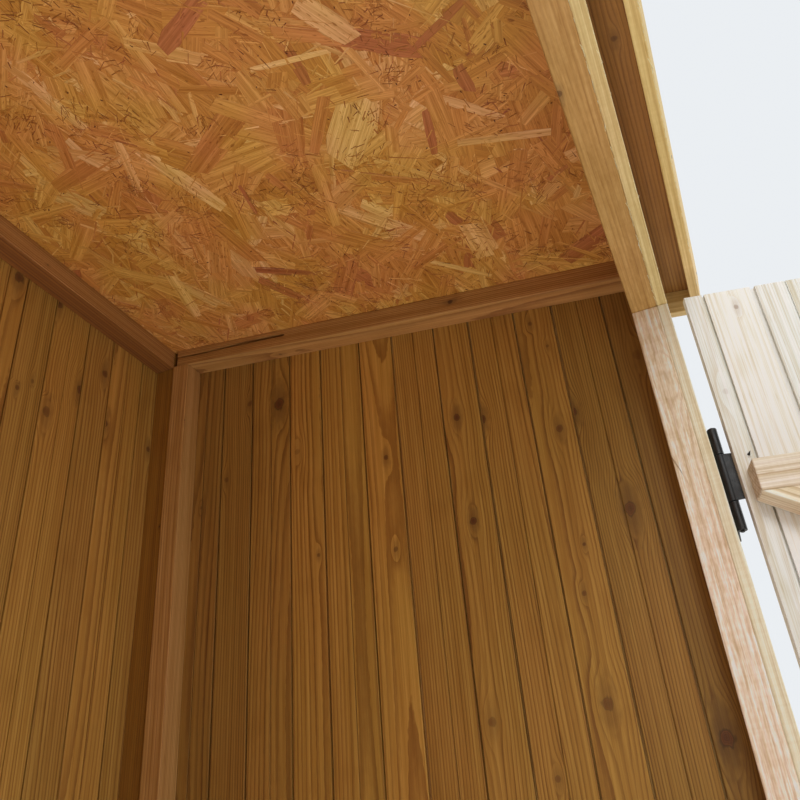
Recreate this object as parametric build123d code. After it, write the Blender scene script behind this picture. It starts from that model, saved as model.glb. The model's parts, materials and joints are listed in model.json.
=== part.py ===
from build123d import *
import math
import os

# Bike shelter: a closed timber store with a pent roof that rises towards the back.
# Millimetres, +Z up. The origin is on the ground in the middle of the doorway's sill.
# +X runs along the length, +Y from the doors to the back wall.
# The two door leaves are drawn standing open, turned about their hinge pins.

# Body
body_length = 1950.0  # over the boards of the two end walls
body_depth = 908.0  # from the front of the posts to the outside of the back boards
door_head = 1503.5  # ground to the underside of the header
header_height = 99.0  # underside of the header to the roof sheet, at the front of the posts
roof_pitch = 8.1  # degrees, rising to the back

# Boards
board_thickness = 12.0
board_ground_gap = 6.0
wall_staves = (61.7, 39.8, 36.5)  # each board shows three staves: one wide, two narrow
door_staves = (67.0, 44.0, 39.7)
joint_width = 3.0  # open joint on the inner face
joint_depth = 4.0
kerf_width = 1.5  # false joint between the two narrow staves
kerf_depth = 1.5
vee_width = 6.0  # joint on the outer face
vee_depth = 3.0
back_first_joint = 66.5  # from each panel's left edge, seen from inside, to its first wide stave
end_first_joint = 128.2
door_first_joint = 26.0

# Wall frames
post_width = 43.0  # along X
post_depth = 36.0  # along Y
corner_stile_width = 37.0
back_frame_depth = 39.0
end_frame_depth = 40.0
end_stile_width = 34.0
middle_stile_width = 38.0
low_rail_height = 38.0
middle_rail_height = 38.0
middle_rail_level = 750.0  # ground to the middle of the rail
end_top_rail_height = 33.3  # square to the roof
end_top_rail_gap = 8.0  # open slot between the rail's end and the back wall's frame
back_top_rail_height = 36.0
sill_height = 28.0
trim_thickness = 14.5

# Roof
sheet_thickness = 11.0
covering_thickness = 3.0
rim_thickness = 21.0
front_overhang = 38.5  # from the walls' outside to the inside of the fascias
back_overhang = 29.0
end_overhang = 32.0
fascia_thickness = 14.0
front_fascia_drop = 45.5  # below the underside of the roof sheet
end_fascia_drop = 58.0
joist_width = 38.0
joist_height = 45.0
seat_gap = 0.3

# Doors
door_gap = 6.0  # all round each leaf: to posts, header and sill, and leaf to leaf
door_proud = 1.0  # outside of a shut leaf in front of the trim
door_open_angle = 103.0
ledge_height = 42.5
ledge_thickness = 33.0
ledge_hinge_setback = 9.0
ledge_free_setback = 24.0
top_ledge_level = 1205.0
ledge_spacing = 520.0
ledge_count = 3
brace_end_cut = 90.0  # length of the level cut at each end of a brace

# Hinges
hinge_plate_thickness = 2.5
hinge_pin_radius = 2.5
hinge_pin_clearance = 0.1
hinge_barrel_radius = 6.0
hinge_barrel_gap = 0.5  # barrel to the front of the trim
hinge_edge_gap = 12.7  # pin's centre to the edge of the leaf's boards
hinge_pin_head = 2.0
hinge_rise = 21.0  # middle of a hinge above the middle of its ledge
strap_height = 64.0  # at the barrel
strap_length = 380.0
strap_tip_radius = 13.0
butt_height = 140.0
butt_width = 40.0
knuckle_gap = 1.0

# Bolt on the doors
bolt_level = 880.0
bolt_plate_length = 140.0
bolt_plate_height = 38.0
bolt_plate_thickness = 2.0
bolt_edge_setback = 6.0
bolt_radius = 5.0
bolt_clearance = 0.2
bolt_standoff = 1.5
bolt_keep_width = 10.0
bolt_keep_wall = 3.0
bolt_keep_inset = 14.0
bolt_length = 124.0
bolt_knob_radius = 4.0
bolt_knob_length = 20.0
keeper_length = 34.0

# Places worked out from the sizes
eaves_height = door_head + header_height
end_outside = body_length / 2
end_inside = end_outside - board_thickness
post_inside = end_inside - post_width
corner_stile_inside = end_inside - corner_stile_width
end_frame_inside = end_inside - end_frame_depth
post_front = -post_depth / 2
post_back = post_depth / 2
back_outside = post_front + body_depth
back_inside = back_outside - board_thickness
back_frame_front = back_inside - back_frame_depth
end_stile_front = back_frame_front - end_stile_width
trim_front = post_front - trim_thickness
middle_rail_low = middle_rail_level - middle_rail_height / 2
middle_rail_high = middle_rail_level + middle_rail_height / 2
pitch = math.radians(roof_pitch)
roof_top = sheet_thickness + covering_thickness

door_outer_face = trim_front - door_proud
door_inner_face = door_outer_face + board_thickness
door_hinge_edge = post_inside - door_gap
door_free_edge = door_gap / 2
door_bottom = sill_height + door_gap
door_top = door_head - door_gap
ledge_hinge_end = door_hinge_edge - ledge_hinge_setback
ledge_free_end = door_free_edge + ledge_free_setback
ledge_face = door_inner_face + ledge_thickness
hinge_x = door_hinge_edge + hinge_edge_gap
hinge_y = trim_front - hinge_barrel_gap - hinge_barrel_radius
ledge_levels = [top_ledge_level - ledge_spacing * step for step in range(ledge_count)]
hinge_levels = [level + hinge_rise for level in (ledge_levels[0], ledge_levels[-1])]

roof_frame = Pos(0, post_front, eaves_height) * Rot(X=roof_pitch)


def block(x, y, z):
    """A box from its low and high values along X, Y and Z."""
    corner = (Align.MIN, Align.MIN, Align.MIN)
    box = Box(x[1] - x[0], y[1] - y[0], z[1] - z[0], align=corner)
    return Pos(x[0], y[0], z[0]) * box


def mirrored(piece):
    """The same piece on the other end of the shelter."""
    return mirror(piece, about=Plane.YZ)


def under_roof(piece, drop=0.0):
    """What is left of a piece below the roof sheet, or a drop further down."""
    reach = body_length + body_depth
    above = Box(reach, reach, reach, align=(Align.CENTER, Align.CENTER, Align.MIN))
    return piece - roof_frame * Pos(0, 0, -drop) * above


def roof_height(y):
    """Height of the roof sheet's underside at a place along Y."""
    return eaves_height + (y - post_front) * math.tan(pitch)


def roof_run(y, drop=0.0):
    """Distance up the slope of a point at Y that lies a drop below the sheet's underside."""
    return (y - post_front - drop * math.sin(pitch)) / math.cos(pitch)


def joint_places(length, first_joint, staves):
    """Each joint along a panel as a place and whether it is a true joint."""
    wide, middle, narrow = staves
    period = wide + middle + narrow
    places = []
    start = first_joint - period
    while start < length:
        places.append((start, True))
        places.append((start + wide, True))
        places.append((start + wide + middle, False))
        start += period
    return [(u, true_joint) for u, true_joint in places if vee_width < u < length - vee_width]


def board_panel(length, height, first_joint, staves):
    """Upright boards side by side: inner face on Y = 0, outer face one board further."""
    inner = [(0.0, 0.0)]
    outer = [(0.0, board_thickness)]
    for u, true_joint in joint_places(length, first_joint, staves):
        half = (joint_width if true_joint else kerf_width) / 2
        depth = joint_depth if true_joint else kerf_depth
        inner += [(u - half, 0.0), (u - half, depth), (u + half, depth), (u + half, 0.0)]
        if true_joint:
            bottom = board_thickness - vee_depth
            outer += [(u - vee_width / 2, board_thickness), (u, bottom)]
            outer += [(u + vee_width / 2, board_thickness)]
    inner.append((length, 0.0))
    outer.append((length, board_thickness))
    outline = Polyline(*inner, *reversed(outer), close=True)
    return extrude(make_face(outline), height)


def back_wall_boards():
    height = roof_height(back_outside) - board_ground_gap
    panel = board_panel(body_length, height, back_first_joint, wall_staves)
    return under_roof(Pos(-end_outside, back_inside, board_ground_gap) * panel)


def end_wall_boards():
    length = back_inside - post_front
    height = roof_height(back_inside) - board_ground_gap
    panel = board_panel(length, height, end_first_joint, wall_staves)
    return under_roof(Pos(end_inside, back_inside, board_ground_gap) * Rot(Z=-90) * panel)


def end_wall_rails():
    across = (end_frame_inside, end_inside)
    along = (post_back, end_stile_front)
    low = block(across, along, (0, low_rail_height))
    middle = block(across, along, (middle_rail_low, middle_rail_high))
    top_along = (post_back, back_frame_front - end_top_rail_gap)
    top = under_roof(block(across, top_along, (0, roof_height(back_outside))))
    top -= under_roof(top, end_top_rail_height)
    return [low, middle, top]


def end_wall_stile():
    across = (end_frame_inside, end_inside)
    stile = block(across, (end_stile_front, back_frame_front), (0, roof_height(back_outside)))
    return under_roof(stile, end_top_rail_height)


def corner_stile():
    across = (corner_stile_inside, end_inside)
    return under_roof(block(across, (back_frame_front, back_inside), (0, roof_height(back_outside))))


def back_wall_rails():
    deep = (back_frame_front, back_inside)
    wide = (-corner_stile_inside, corner_stile_inside)
    right_bay = (middle_stile_width / 2, corner_stile_inside)
    left_bay = (-corner_stile_inside, -middle_stile_width / 2)
    middle_height = (middle_rail_low, middle_rail_high)
    top_low = roof_height(back_frame_front) - back_top_rail_height
    low = block(wide, deep, (0, low_rail_height))
    right_middle = block(right_bay, deep, middle_height)
    left_middle = block(left_bay, deep, middle_height)
    top = under_roof(block(wide, deep, (top_low, roof_height(back_outside))))
    return [low, right_middle, left_middle, top]


def back_middle_stile():
    top_low = roof_height(back_frame_front) - back_top_rail_height
    across = (-middle_stile_width / 2, middle_stile_width / 2)
    return block(across, (back_frame_front, back_inside), (low_rail_height, top_low))


def front_post():
    return block((post_inside, end_inside), (post_front, post_back), (0, door_head))


def post_trim():
    return block((post_inside, end_outside), (trim_front, post_front), (0, door_head))


def header():
    high = (door_head, roof_height(back_outside))
    return under_roof(block((-end_inside, end_inside), (post_front, post_back), high))


def header_trim():
    high = (door_head, roof_height(back_outside))
    return under_roof(block((-end_outside, end_outside), (trim_front, post_front), high))


def sill():
    return block((-post_inside, post_inside), (post_front, post_back), (0, sill_height))


def sill_trim():
    return block((-post_inside, post_inside), (trim_front, post_front), (0, sill_height))


# Runs up the slope to the inner and outer faces of the rim battens
front_rim_inner = roof_run(trim_front - seat_gap, rim_thickness)
front_rim_outer = front_rim_inner - front_overhang
back_rim_inner = roof_run(back_outside + seat_gap)
back_rim_outer = back_rim_inner + back_overhang
rim_end = end_outside + end_overhang


def roof_block(x, run, rise):
    """A box square to the roof: along X, up the slope and out from the sheet's underside."""
    return roof_frame * block(x, run, rise)


def roof_sheet():
    run = (front_rim_outer, back_rim_outer)
    return roof_block((-rim_end, rim_end), run, (0, sheet_thickness))


def roof_covering():
    run = (front_rim_outer, back_rim_outer)
    return roof_block((-rim_end, rim_end), run, (sheet_thickness, roof_top))


def front_roof_batten():
    return roof_block((-rim_end, rim_end), (front_rim_outer, front_rim_inner), (-rim_thickness, 0))


def back_roof_batten():
    return roof_block((-rim_end, rim_end), (back_rim_inner, back_rim_outer), (-rim_thickness, 0))


def end_roof_batten():
    run = (front_rim_inner, back_rim_inner)
    return roof_block((end_outside, rim_end), run, (-rim_thickness, 0))


def cross_fascia(run, drop):
    """A fascia along the front or the back, lapping the ends of the end fascias."""
    reach = rim_end + fascia_thickness
    return roof_block((-reach, reach), run, (-drop, roof_top))


def front_fascia():
    return cross_fascia((front_rim_outer - fascia_thickness, front_rim_outer), front_fascia_drop)


def back_fascia():
    return cross_fascia((back_rim_outer, back_rim_outer + fascia_thickness), front_fascia_drop)


def end_fascia():
    run = (front_rim_outer, back_rim_outer)
    return roof_block((rim_end, rim_end + fascia_thickness), run, (-end_fascia_drop, roof_top))


def roof_joist():
    across = (-joist_width / 2, joist_width / 2)
    joist = under_roof(block(across, (post_back, back_frame_front), (0, roof_height(back_outside))))
    return joist - under_roof(joist, joist_height)


def opened(piece):
    """A piece of the right leaf, turned from closed to standing open."""
    turn = Pos(hinge_x, hinge_y, 0) * Rot(Z=door_open_angle) * Pos(-hinge_x, -hinge_y, 0)
    return turn * piece


def door_boards():
    width = door_hinge_edge - door_free_edge
    panel = board_panel(width, door_top - door_bottom, door_first_joint, door_staves)
    return Pos(door_hinge_edge, door_inner_face, door_bottom) * Rot(Z=180) * panel


def door_ledges():
    across = (ledge_free_end, ledge_hinge_end)
    deep = (door_inner_face, ledge_face)
    half = ledge_height / 2
    return [block(across, deep, (level - half, level + half)) for level in ledge_levels]


def door_braces():
    """Each brace falls from the hinge end of one ledge to the free end of the next."""
    braces = []
    for upper, lower in zip(ledge_levels, ledge_levels[1:]):
        high = upper - ledge_height / 2
        low = lower + ledge_height / 2
        corners = [
            (ledge_hinge_end, high),
            (ledge_hinge_end - brace_end_cut, high),
            (ledge_free_end, low),
            (ledge_free_end + brace_end_cut, low),
        ]
        outline = Polyline(*[(x, door_inner_face, z) for x, z in corners], close=True)
        braces.append(extrude(make_face(outline), ledge_thickness, dir=(0, 1, 0)))
    return braces


def barrel(radius, low, high):
    """An upright cylinder about the hinge pin's axis."""
    upright = Cylinder(radius, high - low, align=(Align.CENTER, Align.CENTER, Align.MIN))
    return Pos(hinge_x, hinge_y, low) * upright


def hinge_strap(level):
    """The long leaf of a T-hinge, with the knuckle that turns on the pin."""
    tip = strap_length - strap_tip_radius
    corners = [
        (0, strap_height / 2),
        (-tip, strap_tip_radius),
        (-tip, -strap_tip_radius),
        (0, -strap_height / 2),
    ]
    outline = Polyline(*corners, close=True)
    face = make_face(outline) + Pos(-tip, 0) * Circle(strap_tip_radius)
    plate = extrude(Plane.XZ * face, hinge_plate_thickness)
    plate = Pos(hinge_x, door_outer_face, level) * plate
    low, high = level - strap_height / 2, level + strap_height / 2
    bore = barrel(hinge_pin_radius + hinge_pin_clearance, low, high)
    return plate + barrel(hinge_barrel_radius, low, high) - bore


def hinge_butt(level):
    """The short leaf of a T-hinge on the post's trim, with its two knuckles and the pin."""
    inner = hinge_x + hinge_barrel_radius + knuckle_gap
    deep = (trim_front - hinge_plate_thickness, trim_front)
    top, bottom = level + butt_height / 2, level - butt_height / 2
    leaf = block((inner, hinge_x + butt_width), deep, (bottom, top))
    pin = barrel(hinge_pin_radius, bottom - hinge_pin_head, top + hinge_pin_head)
    leaf += pin
    reach = strap_height / 2 + knuckle_gap
    for low, high in ((level + reach, top), (bottom, level - reach)):
        leaf += block((hinge_x, inner), deep, (low, high)) + barrel(hinge_barrel_radius, low, high)
    return leaf


bolt_axis = door_outer_face - bolt_plate_thickness - bolt_standoff - bolt_radius


def lying_rod(radius, low, high):
    """A rod along X on the bolt's axis."""
    rod = Cylinder(radius, high - low, align=(Align.CENTER, Align.CENTER, Align.MIN))
    return Pos(low, bolt_axis, bolt_level) * Rot(Y=90) * rod


def bolt_keep(middle):
    """A block over the bolt bar, without the bar's hole."""
    reach = bolt_radius + bolt_clearance + bolt_keep_wall
    across = (middle - bolt_keep_width / 2, middle + bolt_keep_width / 2)
    deep = (bolt_axis - reach, door_outer_face - bolt_plate_thickness)
    return block(across, deep, (bolt_level - reach, bolt_level + reach))


def bolt_backing(low, high, keeps):
    """A plate on the leaf's outer face with a row of keeps, all drilled for the bar."""
    half = bolt_plate_height / 2
    deep = (door_outer_face - bolt_plate_thickness, door_outer_face)
    backing = block((low, high), deep, (bolt_level - half, bolt_level + half))
    for middle in keeps:
        backing += bolt_keep(middle)
    return backing - lying_rod(bolt_radius + bolt_clearance, low, high)


def bolt_plate():
    low = door_free_edge + bolt_edge_setback
    high = low + bolt_plate_length
    return bolt_backing(low, high, (low + bolt_keep_inset, high - bolt_keep_inset))


def bolt_bar():
    low = door_free_edge + bolt_edge_setback
    bar = lying_rod(bolt_radius, low, low + bolt_length)
    knob = Cylinder(bolt_knob_radius, bolt_knob_length, align=(Align.CENTER, Align.CENTER, Align.MIN))
    place = Pos(low + bolt_plate_length / 2, bolt_axis, bolt_level)
    return bar + place * Rot(X=90) * knob


def bolt_keeper():
    low = door_free_edge + bolt_edge_setback
    high = low + keeper_length
    return bolt_backing(low, high, ((low + high) / 2,))


shelter = {
    "back_wall_boards": [back_wall_boards()],
    "back_wall_rails": back_wall_rails(),
    "back_middle_stile": [back_middle_stile()],
    "header": [header()],
    "header_trim": [header_trim()],
    "sill": [sill()],
    "sill_trim": [sill_trim()],
    "roof_joist": [roof_joist()],
    "roof_sheet": [roof_sheet()],
    "roof_covering": [roof_covering()],
    "front_roof_batten": [front_roof_batten()],
    "back_roof_batten": [back_roof_batten()],
    "front_fascia": [front_fascia()],
    "back_fascia": [back_fascia()],
    "right_bolt_plate": [opened(bolt_plate())],
    "right_bolt_bar": [opened(bolt_bar())],
    "left_bolt_keeper": [mirrored(opened(bolt_keeper()))],
}

paired = {
    "wall_boards": [end_wall_boards()],
    "wall_rails": end_wall_rails(),
    "wall_stile": [end_wall_stile()],
    "corner_stile": [corner_stile()],
    "front_post": [front_post()],
    "post_trim": [post_trim()],
    "roof_batten": [end_roof_batten()],
    "end_fascia": [end_fascia()],
    "hinge_butts": [hinge_butt(level) for level in hinge_levels],
    "door_boards": [opened(door_boards())],
    "door_ledges": [opened(ledge) for ledge in door_ledges()],
    "door_braces": [opened(brace) for brace in door_braces()],
    "door_straps": [opened(hinge_strap(level)) for level in hinge_levels],
}

for name, pieces in paired.items():
    shelter["right_" + name] = pieces
    shelter["left_" + name] = [mirrored(piece) for piece in pieces]

os.makedirs("parts", exist_ok=True)
for name, pieces in shelter.items():
    shape = pieces[0] if len(pieces) == 1 else Compound(children=pieces)
    export_step(shape, os.path.join("parts", name + ".step"))

print("hinge pins at x =", hinge_x, "y =", hinge_y)
print("roof sheet underside at the back boards:", round(roof_height(back_outside), 1))
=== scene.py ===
import json
import math

import bmesh
import bpy
import numpy as np
from mathutils import Matrix, Vector


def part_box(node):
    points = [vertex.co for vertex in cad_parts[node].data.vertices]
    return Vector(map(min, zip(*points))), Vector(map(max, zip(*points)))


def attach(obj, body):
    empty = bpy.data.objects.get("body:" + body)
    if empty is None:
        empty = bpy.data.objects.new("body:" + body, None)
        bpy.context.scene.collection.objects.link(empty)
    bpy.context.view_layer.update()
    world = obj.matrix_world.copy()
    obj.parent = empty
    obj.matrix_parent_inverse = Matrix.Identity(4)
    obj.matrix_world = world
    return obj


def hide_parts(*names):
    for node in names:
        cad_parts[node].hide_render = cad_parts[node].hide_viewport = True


# The looks of a timber bike store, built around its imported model.
# Metres, +Z up, in the model's own frame: +X along the length, +Y from the doors to the back wall.

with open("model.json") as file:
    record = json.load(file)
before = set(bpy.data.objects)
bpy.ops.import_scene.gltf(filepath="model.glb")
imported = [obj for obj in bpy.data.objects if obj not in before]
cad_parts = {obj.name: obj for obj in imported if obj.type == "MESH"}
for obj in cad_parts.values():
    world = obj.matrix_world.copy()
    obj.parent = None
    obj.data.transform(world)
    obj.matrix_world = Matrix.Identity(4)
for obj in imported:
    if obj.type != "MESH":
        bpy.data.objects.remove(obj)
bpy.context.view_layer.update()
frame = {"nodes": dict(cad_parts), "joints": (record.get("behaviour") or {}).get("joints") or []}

UP = Vector((0, 0, 1))
X_AXIS = Vector((1, 0, 0))
Y_AXIS = Vector((0, 1, 0))
MIRROR = Matrix.Diagonal((-1, 1, 1, 1))

# Boards: each shows one wide stave and two narrow ones
WALL_STAVES = (0.0617, 0.0398, 0.0365)
DOOR_STAVES = (0.067, 0.044, 0.0397)
BACK_FIRST_JOINT = 0.0665
END_FIRST_JOINT = 0.1282
DOOR_FIRST_JOINT = 0.026
JOINT_DEPTH = 0.006
KERF_WIDTH = 0.0015
KERF_DEPTH = 0.0022
VEE_WIDTH = 0.006
VEE_DEPTH = 0.003
ARRIS = 0.0007
WALL_JOINT_WIDTHS = (0.0026, 0.0032)
DOOR_JOINT_WIDTHS = (0.0032, 0.0064)
JOINT_JITTER = 0.0004
LEAST_JOINT = 0.0012
# Rounded edges of framing timber and of iron
TIMBER_ARRIS = 0.0015
METAL_ARRIS = 0.0004
# Lowest and highest tint of a timber by chance, and how far its grain may be shifted
TINT_RANGE = ((0, 0, 0.35), (1, 1, 0.85))
GRAIN_SHIFT = 40
# Of the two ways along a timber, its grain runs the one nearer to this, and of two faces as
# wide the one that looks more this way is its outer one
GRAIN_SENSE = Vector((0.3, 0.5, 1))

# Knots that the photograph shows: along the panel, height, radius, darkness from 0 to 1
END_WALL_KNOTS = (
    (0.09, 1.405, 0.0025, 0.5),
    (0.14, 1.445, 0.004, 0.5),
    (0.185, 1.585, 0.0045, 0.6),
    (0.245, 1.565, 0.01, 1.0),
    (0.28, 1.46, 0.005, 0.3),
    (0.315, 1.27, 0.0025, 0.6),
    (0.44, 1.405, 0.004, 0.8),
    (0.445, 1.25, 0.0035, 0.6),
    (0.565, 1.44, 0.0055, 1.0),
    (0.605, 1.425, 0.006, 1.0),
    (0.57, 1.265, 0.005, 1.0),
    (0.705, 1.57, 0.0035, 0.6),
    (0.725, 1.52, 0.0022, 0.5),
    (0.742, 1.395, 0.006, 1.0),
    (0.718, 1.375, 0.005, 0.7),
    (0.72, 1.195, 0.0025, 0.8),
    (0.707, 1.13, 0.003, 0.6),
    (0.79, 1.23, 0.0085, 0.8),
    (0.85, 1.46, 0.0065, 0.3),
    (0.56, 0.99, 0.0055, 0.5),
    (0.633, 0.915, 0.0035, 0.5),
    (0.71, 0.99, 0.007, 0.6),
    (0.835, 0.935, 0.0085, 0.9),
)
BACK_WALL_KNOTS = (
    (1.565, 1.68, 0.008, 0.9),
    (1.65, 1.685, 0.0065, 0.9),
    (1.6, 1.495, 0.0035, 0.7),
    (1.625, 1.52, 0.003, 0.5),
    (1.66, 1.485, 0.0075, 0.6),
    (1.72, 1.555, 0.0065, 0.9),
    (1.77, 1.615, 0.006, 0.8),
    (1.785, 1.525, 0.006, 0.9),
    (1.895, 1.525, 0.0045, 0.8),
)
LEAF_KNOTS = ((0.064, 1.468, 0.003, 0.5), (0.014, 1.34, 0.0035, 0.1), (0.12, 1.02, 0.005, 0.6))
# Where the photograph shows all the knots: beyond this along the panel, and above this height
NOT_SEEN = (9, 9)
END_WALL_CLEAR = (0, 0.85)
BACK_WALL_CLEAR = (1.45, 0.9)
LEAF_CLEAR = (0, 1.1)
# How light each board of the end wall is, from the back corner: partly the boards' own tones, partly
# painted shade; the last ones, beside the post, are darkened for the shade that falls there
END_WALL_TONES_AND_SHADE = (0.0, 0.0, 0.1, 0.35, 0.7, 0.7, 0.9, 0.5, 0.5, 0.45, 0.45, 0.1, -0.2, -0.3)
KNOT_STRETCH = 0.36
KNOT_REACH = 1.7
KNOT_CORE = 0.85
# Knots of a board by chance: smallest radius, how far others exceed it as a power of e, least
# spacing, where the first one may lie, and the steps to the next ones
BOARD_KNOT = 0.0017
BOARD_KNOT_POWER = 1.35
BOARD_KNOTS_APART = 0.15
BOARD_KNOT_START = (0.03, 0.5)
BOARD_KNOT_STEPS = (0.2, 0.6)
# The same of framing timber, with the share of large ones and the share of those on an edge
FRAMING_KNOT_START = (0.03, 0.7)
FRAMING_KNOT_STEPS = (0.25, 0.8)
SMALL_KNOT = (0.0012, 0.003)
LARGE_KNOT = (0.0045, 0.008)
LARGE_KNOTS = 0.25
EDGE_KNOTS = 0.4
KNOTS_APART = 0.2
# How far outside its timber a seen knot may be noted
KNOT_TOLERANCE = 0.002
# Powers of a shade in red, green and blue: where wood is darker it is also browner
SHADE_POWERS = (0.85, 1.2, 2.0)
# No timber is paler than this
PALEST = (0.82, 0.81, 0.79)

# Roof
STRAND_DEPTH = 0.0003
STRAND_CHAMFER = 0.0006
STRAND_SLOPE = 0.0003
STRAND_MARGIN = 0.003
# How far the strands by chance turn from the roof's length, and how high they lie in the sheet
STRAND_TURNS = 0.85
STRAND_LEVELS = (-0.0003, 0.0001)
SEEN_STRAND_LEVEL = -0.00035
# Their layers: count, lengths, widths, points of the outline, how far colours stray, frays of each
STRAND_LAYERS = (
    (1300, (0.07, 0.16), (0.014, 0.042), 8, 0.55, 4),
    (1100, (0.04, 0.11), (0.005, 0.016), 8, 0.7, 1),
    (2000, (0.012, 0.07), (0.0012, 0.004), 4, 1.0, 0),
)
# Splinters: nests of some fibres each, and single specks
NESTS = 380
NEST_FIBRES = 28
NEST_LEVEL = -0.0007
SPECKS = 700
SPECK_LEVEL = -0.0008
FELT_THICKNESS = 0.0022
FELT_LAP = 0.075
FELT_SINK = 0.0004
FELT_WAVE = 0.0006
FELT_FLAT_EDGE = 0.04
FELT_SETTLE = 0.03
FELT_COLUMNS = 90
FELT_ROWS = 26
# Torn fibres to a metre
TORN_FIBRES = 90

# Strands that the photograph shows best: along the roof, up its slope, turn in degrees, length, width, kind
SEEN_STRANDS = (
    (0.34, 0.41, 65, 0.085, 0.024, "red"),
    (0.5, 0.47, 60, 0.145, 0.043, "pink"),
    (0.54, 0.56, -16, 0.145, 0.027, "pale"),
    (0.355, 0.63, -7, 0.125, 0.019, "pale"),
    (0.315, 0.5, 49, 0.045, 0.016, "pink"),
    (0.515, 0.325, 37, 0.125, 0.017, "pink"),
    (0.628, 0.115, -78, 0.135, 0.014, "pale"),
    (0.524, 0.137, -2, 0.04, 0.017, "red"),
    (0.4245, 0.317, -84, 0.1, 0.008, "pale"),
    (0.575, 0.265, 68, 0.14, 0.022, "yellow"),
    (0.545, 0.3, 40, 0.115, 0.054, "pale"),
    (0.585, 0.205, 13, 0.075, 0.012, "red"),
    (0.665, 0.245, -63, 0.145, 0.012, "pink"),
    (0.695, 0.295, 31, 0.075, 0.019, "tan"),
    (0.695, 0.33, -35, 0.05, 0.02, "pale"),
    (0.75, 0.235, -17, 0.033, 0.019, "red"),
    (0.865, 0.265, -49, 0.1, 0.011, "pale"),
    (0.665, 0.465, -31, 0.053, 0.014, "pink"),
    (0.815, 0.565, -29, 0.085, 0.02, "red"),
    (0.61, 0.495, 9, 0.06, 0.007, "red"),
    (0.445, 0.14, 63, 0.085, 0.011, "red"),
    (0.39, 0.255, -29, 0.08, 0.032, "pale"),
)
STRAND_KINDS = {"pale": 0.05, "yellow": 0.2, "tan": 0.45, "pink": 0.7, "red": 0.9}

# Knots of the framing that the photograph shows: place, radius, darkness
FRAMING_KNOTS = {
    "right_wall_rails": (
        ((0.923, 0.287, 1.631), 0.0035, 0.9),
        ((0.923, 0.251, 1.586), 0.0022, 0.7),
    ),
    "right_wall_stile": (((0.923, 0.803, 1.565), 0.0024, 0.7),),
    "right_front_post": (((0.92, -0.003, 1.389), 0.0075, 0.0),),
    "header": (((0.494, 0.016, 1.5), 0.003, 0.8),),
    "header_trim": (((0.606, -0.0255, 1.5), 0.003, 0.7),),
}
# Shakes that it shows, on a face square to X: that face, how deep, then their outline as (y, z)
RAIL_SHAKE = (
    (0.832, 1.7085), (0.779, 1.7012), (0.692, 1.6938), (0.628, 1.6862), (0.602, 1.6805), (0.597, 1.6785),
    (0.602, 1.6755), (0.628, 1.6795), (0.692, 1.6882), (0.779, 1.6982), (0.832, 1.7065),
)
POST_SHAKE = (
    (0.0205, 1.274), (0.0175, 1.2655), (0.0125, 1.2495), (0.0095, 1.238), (0.0113, 1.248),
    (0.016, 1.264), (0.019, 1.2755), (0.0205, 1.2805),
)
SHAKES = {
    "right_wall_rails": (0.923, 0.012, RAIL_SHAKE),
    "right_front_post": (0.92, 0.003, POST_SHAKE),
}
# How far outside the face the cut of a shake starts
SHAKE_START = 0.002

# Fasteners. Heads: radius, and rise above the seat
NAIL_HEAD = (0.0027, 0.0005)
CLOUT_HEAD = (0.005, 0.0009)
SCREW_HEAD = (0.0042, 0.0016)
SMALL_SCREW_HEAD = (0.003, 0.00112)
# Sides of a nail's round head and of a screw's, and how deep its cross is as a share of the rise
NAIL_SIDES = 10
SCREW_SIDES = 12
CROSS_DEPTH = 0.6
NAIL_SHARES = (0.22, 0.78)
WALL_NAIL_LEVELS = (0.019, 0.75)
UNDER_ROOF = 0.018
LEDGE_LEVELS = (0.165, 0.685, 1.205)
TRIM_NAIL_SPACING = 0.3
TRIM_NAIL_SETBACK = 0.03
TRIM_NAIL_ZIGZAG = 0.35
# Clout nails: how many along the roof and spaces up it, how far from its edges and its ends
CLOUTS_ALONG = 28
CLOUT_SPACES_UP = 14
CLOUT_SETBACK = 0.018
CLOUT_END = 0.04
CLOUT_LAP_SETBACK = 0.02
SCREW_TIP_RADIUS = 0.0021
SCREW_TIP_LENGTH = 0.011
HINGE_LEVELS = (0.186, 1.226)
STRAP_THICKNESS = 0.0025
# Screws of the straps, from the hinge pin, and of the butts: along, up
STRAP_SCREWS = (
    (0.03, 0.0205),
    (0.03, -0.0205),
    (0.075, 0.0),
    (0.15, 0.0),
    (0.23, 0.0),
    (0.31, 0.0),
    (0.366, 0.0),
)
BUTT_SCREWS = ((-0.025, 0.052), (-0.025, 0.0), (-0.025, -0.052))
BOLT_LEVEL = 0.88
BOLT_SCREWS = (0.04, 0.118)
KEEPER_SCREWS = (0.0145, 0.0375)
BOLT_SCREW_RISES = (-0.013, 0.013)
BOLT_PLATE_THICKNESS = 0.002
# Turns of a seat, whose Z looks outwards, towards -Y and +Y
FORWARD = Matrix.Rotation(math.pi / 2, 4, "X")
BACKWARD = Matrix.Rotation(-math.pi / 2, 4, "X")

# Camera, at the photograph's place: inside the doorway, looking up at the right-hand end
CAMERA_PLACE = Vector((-0.1105, -0.0134, 0.8057))
CAMERA_RIGHT = Vector((0.4044, -0.9114, -0.0757))
CAMERA_FORWARD = Vector((0.7976, 0.311, 0.5168))
CAMERA_LENS = 37.07


def linear(red, green, blue):
    """A colour written in 0 to 255 steps, as the shaders take it."""
    steps = [value / 255 for value in (red, green, blue)]
    return tuple(v / 12.92 if v <= 0.04045 else ((v + 0.055) / 1.055) ** 2.4 for v in steps) + (1.0,)


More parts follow.
